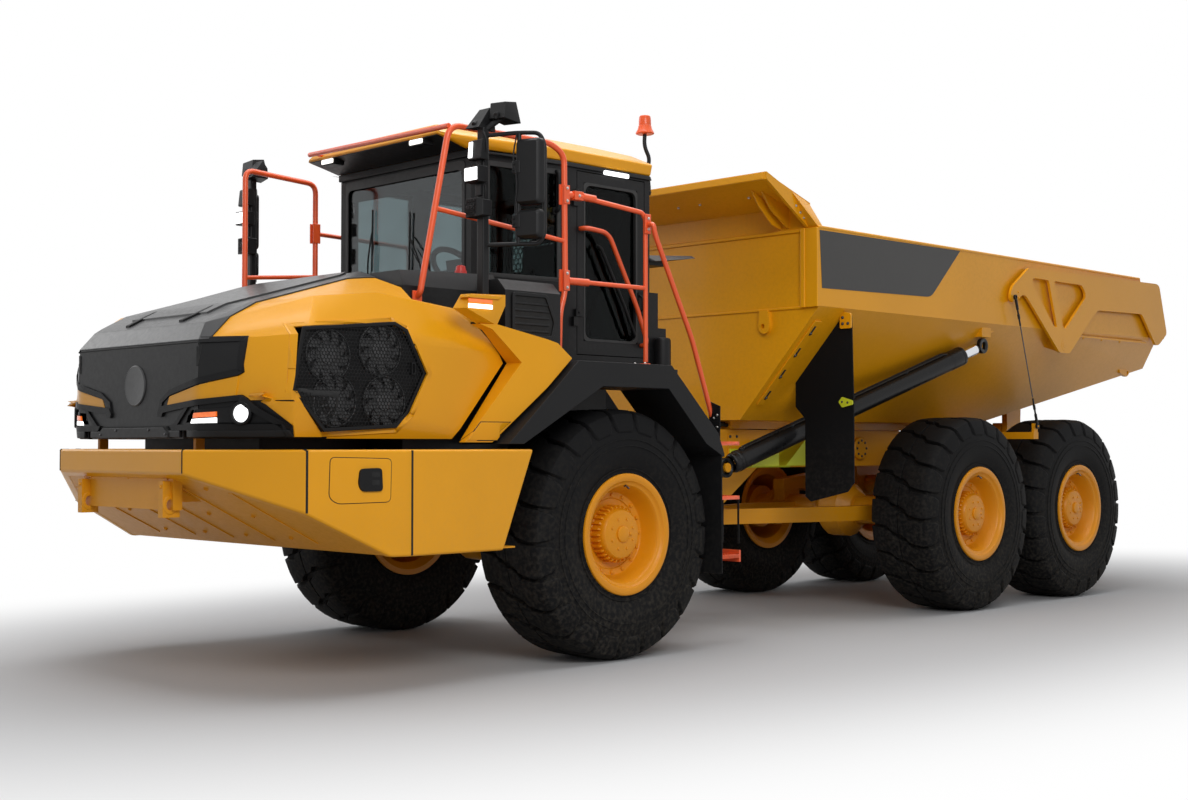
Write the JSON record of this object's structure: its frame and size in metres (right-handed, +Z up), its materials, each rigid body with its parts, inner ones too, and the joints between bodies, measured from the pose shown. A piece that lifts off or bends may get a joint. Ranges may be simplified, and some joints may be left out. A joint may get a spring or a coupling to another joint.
{
  "type": "articulated dump truck",
  "caption": "Six-wheeled articulated hauler with a lifting hood, a cab, a steered and rolling hitch, a tipping body and a wire-opened tailgate.",
  "frame": {"origin": "centre of the bounding box on the ground", "axes": "+X to the truck's left, +Y to its rear, +Z up"},
  "size_m": [3.15, 10.347, 3.685],
  "materials": {
    "yellow_paint": "gloss paint",
    "grey_paint": "satin paint",
    "black_plastic": "matt",
    "orange_paint": "satin paint",
    "bright_steel": "polished",
    "rubber": "matt",
    "tinted_glass": "clear",
    "seat_fabric": "woven",
    "chock_plastic": "satin"
  },
  "bodies": {
    "root": {"front_frame": "yellow_paint", "front_axle": "yellow_paint", "battery_pack": "grey_paint", "front_skirt": "yellow_paint", "left_fender": "grey_paint", "right_fender": "grey_paint", "left_side_panel": "yellow_paint", "right_side_panel": "yellow_paint", "cowl_deck": "grey_paint", "cab_shell": "grey_paint", "cab_roof": "yellow_paint", "windscreen": "tinted_glass", "operator_seat": "seat_fabric", "steering_column": "black_plastic", "cab_guard": "black_plastic", "guard_rails": "orange_paint", "right_guard_rails": "orange_paint", "ladder": "orange_paint", "left_mirror_mast": "black_plastic", "right_mirror_mast": "black_plastic"},
    "hood": {"hood_nose": "grey_paint", "left_hood_panel": "yellow_paint", "right_hood_panel": "yellow_paint", "fan_module": "black_plastic", "left_headlamp_pod": "black_plastic", "right_headlamp_pod": "black_plastic"},
    "door": {"cab_door": "grey_paint", "door_glass": "tinted_glass"},
    "hitch": {"hitch_yoke": "yellow_paint"},
    "rear_unit": {"rear_frame": "yellow_paint", "mid_axle": "yellow_paint", "rear_axle": "yellow_paint", "bogie_beams": "yellow_paint", "chock_holder": "chock_plastic"},
    "body": {"dump_body": "yellow_paint", "left_mud_flap": "rubber", "right_mud_flap": "rubber"},
    "gate": {"tailgate": "yellow_paint"},
    "left_steer_barrel": {"left_steer_barrel": "black_plastic"},
    "left_steer_rod": {"left_steer_rod": "bright_steel"},
    "left_hoist_barrel": {"left_hoist_barrel": "black_plastic"},
    "left_hoist_rod": {"left_hoist_rod": "bright_steel"},
    "left_gate_wire": {"left_gate_wire": "bright_steel"},
    "left_front_wheel": {"left_front_tyre": "rubber", "left_front_rim": "yellow_paint"},
    "left_mid_wheel": {"left_mid_tyre": "rubber", "left_mid_rim": "yellow_paint"},
    "left_rear_wheel": {"left_rear_tyre": "rubber", "left_rear_rim": "yellow_paint"},
    "right_steer_barrel": {"right_steer_barrel": "black_plastic"},
    "right_steer_rod": {"right_steer_rod": "bright_steel"},
    "right_hoist_barrel": {"right_hoist_barrel": "black_plastic"},
    "right_hoist_rod": {"right_hoist_rod": "bright_steel"},
    "right_gate_wire": {"right_gate_wire": "bright_steel"},
    "right_front_wheel": {"right_front_tyre": "rubber", "right_front_rim": "yellow_paint"},
    "right_mid_wheel": {"right_mid_tyre": "rubber", "right_mid_rim": "yellow_paint"},
    "right_rear_wheel": {"right_rear_tyre": "rubber", "right_rear_rim": "yellow_paint"}
  },
  "joints": [
    {"name": "hood_lift", "type": "hinge", "parent": "root", "child": "hood", "pos_m": [0, -4.9775, 1.43], "axis": [1, 0, 0], "range_deg": [0, 65]},
    {"name": "door_swing", "type": "hinge", "parent": "root", "child": "door", "pos_m": [0.815, -2.3095, 2.5], "axis": [0, 0, -1], "range_deg": [0, 45]},
    {"name": "steer", "type": "hinge", "parent": "root", "child": "hitch", "pos_m": [0, -1.2095, 0.95], "axis": [0, 0, 1], "range_deg": [-45, 45]},
    {"name": "roll", "type": "hinge", "parent": "hitch", "child": "rear_unit", "pos_m": [0, -0.8175, 0.95], "axis": [0, 1, 0], "range_deg": [-10, 10]},
    {"name": "tip", "type": "hinge", "parent": "rear_unit", "child": "body", "pos_m": [0, 3.8825, 1.5], "axis": [-1, 0, 0], "range_deg": [0, 70]},
    {"name": "gate_open", "type": "hinge", "parent": "body", "child": "gate", "pos_m": [1.387, 3.1525, 2.245], "axis": [1, 0, 0], "range_deg": [0, 97.14]},
    {"name": "left_steer_pivot", "type": "hinge", "parent": "root", "child": "left_steer_barrel", "pos_m": [0.47, -2.1675, 0.95], "axis": [0, 0, 1], "range_deg": [-6, 6]},
    {"name": "left_steer_stroke", "type": "slide", "parent": "left_steer_barrel", "child": "left_steer_rod", "axis": [-0.1188, 0.9929, 0], "range_m": [-0.262, 0.262]},
    {"name": "left_hoist_pivot", "type": "hinge", "parent": "rear_unit", "child": "left_hoist_barrel", "pos_m": [0.66, -0.6375, 1.19], "axis": [0.7428, -0.3844, 0.5482], "range_deg": [0, 8.47]},
    {"name": "left_hoist_stroke", "type": "slide", "parent": "left_hoist_barrel", "child": "left_hoist_rod", "axis": [0.2152, 0.9124, 0.3482], "range_m": [0, 2.2533]},
    {"name": "left_wire_swing", "type": "hinge", "parent": "rear_unit", "child": "left_gate_wire", "pos_m": [1.418, 2.6325, 1.52], "axis": [-1, 0, 0], "range_deg": [0, 60]},
    {"name": "left_front_wheel_spin", "type": "hinge", "parent": "root", "child": "left_front_wheel", "pos_m": [1.108, -2.4175, 0.795], "axis": [1, 0, 0], "continuous": true},
    {"name": "left_mid_wheel_spin", "type": "hinge", "parent": "rear_unit", "child": "left_mid_wheel", "pos_m": [1.108, 1.7575, 0.795], "axis": [1, 0, 0], "continuous": true},
    {"name": "left_rear_wheel_spin", "type": "hinge", "parent": "rear_unit", "child": "left_rear_wheel", "pos_m": [1.108, 3.4275, 0.795], "axis": [1, 0, 0], "continuous": true},
    {"name": "right_steer_pivot", "type": "hinge", "parent": "root", "child": "right_steer_barrel", "pos_m": [-0.47, -2.1675, 0.95], "axis": [0, 0, 1], "range_deg": [-6, 6]},
    {"name": "right_steer_stroke", "type": "slide", "parent": "right_steer_barrel", "child": "right_steer_rod", "axis": [0.1188, 0.9929, 0], "range_m": [-0.262, 0.262]},
    {"name": "right_hoist_pivot", "type": "hinge", "parent": "rear_unit", "child": "right_hoist_barrel", "pos_m": [-0.66, -0.6375, 1.19], "axis": [0.7428, 0.3844, -0.5482], "range_deg": [0, 8.47]},
    {"name": "right_hoist_stroke", "type": "slide", "parent": "right_hoist_barrel", "child": "right_hoist_rod", "axis": [-0.2152, 0.9124, 0.3482], "range_m": [0, 2.2533]},
    {"name": "right_wire_swing", "type": "hinge", "parent": "rear_unit", "child": "right_gate_wire", "pos_m": [-1.418, 2.6325, 1.52], "axis": [-1, 0, 0], "range_deg": [0, 60]},
    {"name": "right_front_wheel_spin", "type": "hinge", "parent": "root", "child": "right_front_wheel", "pos_m": [-1.108, -2.4175, 0.795], "axis": [1, 0, 0], "continuous": true},
    {"name": "right_mid_wheel_spin", "type": "hinge", "parent": "rear_unit", "child": "right_mid_wheel", "pos_m": [-1.108, 1.7575, 0.795], "axis": [1, 0, 0], "continuous": true},
    {"name": "right_rear_wheel_spin", "type": "hinge", "parent": "rear_unit", "child": "right_rear_wheel", "pos_m": [-1.108, 3.4275, 0.795], "axis": [1, 0, 0], "continuous": true}
  ],
  "couplings": [
    {"joint": "left_steer_pivot", "follows": "steer", "ratio": 0.1157},
    {"joint": "left_steer_stroke", "follows": "steer", "m_per_rad": 0.32913},
    {"joint": "left_hoist_pivot", "follows": "tip", "ratio": 0.11953},
    {"joint": "left_hoist_stroke", "follows": "tip", "m_per_rad": 1.8419},
    {"joint": "left_wire_swing", "follows": "tip", "ratio": 0.84766},
    {"joint": "right_steer_pivot", "follows": "steer", "ratio": 0.1157},
    {"joint": "right_steer_stroke", "follows": "steer", "m_per_rad": -0.32913},
    {"joint": "right_hoist_pivot", "follows": "tip", "ratio": 0.11953},
    {"joint": "right_hoist_stroke", "follows": "tip", "m_per_rad": 1.8419},
    {"joint": "right_wire_swing", "follows": "tip", "ratio": 0.84766},
    {"joint": "gate_open", "follows": "tip", "ratio": 1.3805}
  ]
}
